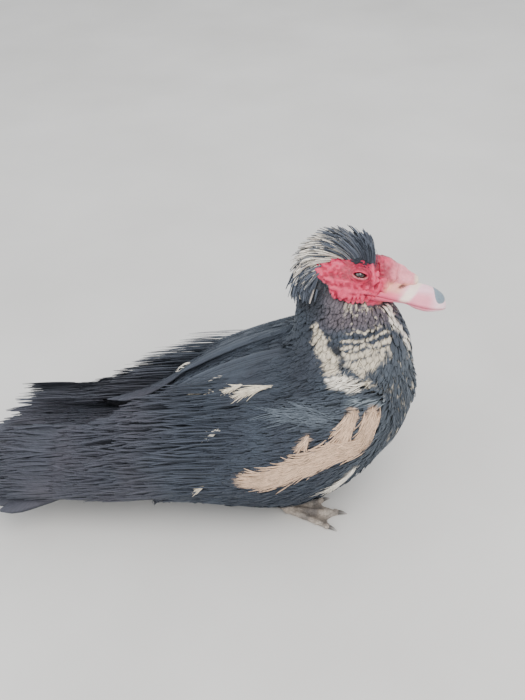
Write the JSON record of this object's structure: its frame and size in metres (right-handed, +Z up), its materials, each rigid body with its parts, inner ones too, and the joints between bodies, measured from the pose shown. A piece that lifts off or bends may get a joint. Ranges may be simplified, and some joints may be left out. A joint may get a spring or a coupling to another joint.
{
  "type": "muscovy duck",
  "caption": "Life-size still model of a resting domestic muscovy drake, neck raised and head turned, with crest, red face caruncles, folded wings and fanned tail.",
  "frame": {"origin": "on the ground, under the middle of the bird's bounding box", "axes": "+X from the tail towards the breast and bill, +Y to the bird's left, +Z up"},
  "size_m": [0.6104, 0.2416, 0.3836],
  "materials": {
    "plumage": "matt feather with a slight sheen",
    "face_skin": "satin, wrinkled skin",
    "bill_skin": "satin",
    "nail_horn": "satin horn",
    "eye": "wet gloss",
    "foot_skin": "dry scaled skin",
    "claw_horn": "dull horn"
  },
  "bodies": {
    "root": {"torso": "plumage", "neck": "plumage", "head": "face_skin", "bill_upper": "bill_skin", "bill_nail": "nail_horn", "bill_lower": "bill_skin", "tail": "plumage", "eye_left": "eye", "wing_left": "plumage", "foot_left": "foot_skin", "leg_left": "foot_skin", "claw_left_inner": "claw_horn", "claw_left_middle": "claw_horn", "claw_left_outer": "claw_horn", "claw_left_hind": "claw_horn", "eye_right": "eye", "wing_right": "plumage", "foot_right": "foot_skin", "leg_right": "foot_skin", "claw_right_inner": "claw_horn", "claw_right_middle": "claw_horn", "claw_right_outer": "claw_horn", "claw_right_hind": "claw_horn"}
  },
  "joints": []
}
